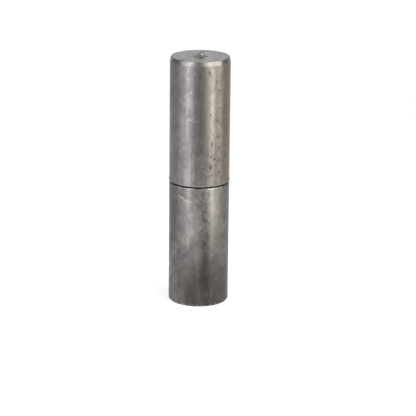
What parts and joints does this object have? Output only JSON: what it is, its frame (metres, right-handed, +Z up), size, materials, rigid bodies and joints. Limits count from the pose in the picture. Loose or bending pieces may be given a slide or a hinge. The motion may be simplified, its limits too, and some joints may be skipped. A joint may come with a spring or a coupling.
{
  "type": "weld on barrel hinge",
  "caption": "Upright steel weld on barrel hinge: a lower barrel with a turned pin and an upper barrel with a blind bore that turns and lifts off on it.",
  "frame": {"origin": "centre of the lower barrel's flat foot, where the hinge stands", "axes": "+Z up along the hinge axis; the part is round, so +X and +Y are any two directions across it"},
  "size_m": [0.0244, 0.0244, 0.1018],
  "materials": {
    "lower_steel": "bare drawn steel bar with fine lengthwise lines, mottled, pitted and slightly oiled",
    "upper_steel": "bare drawn steel bar with fine lengthwise lines, brighter, with a turned and chamfered closed end"
  },
  "bodies": {
    "lower": {"lower_barrel": "lower_steel"},
    "upper": {"upper_barrel": "upper_steel"}
  },
  "joints": [
    {"name": "swing", "type": "hinge", "parent": "lower", "child": "upper", "pos_m": [0, 0, 0.0494], "axis": [0, 0, 1], "continuous": true}
  ]
}
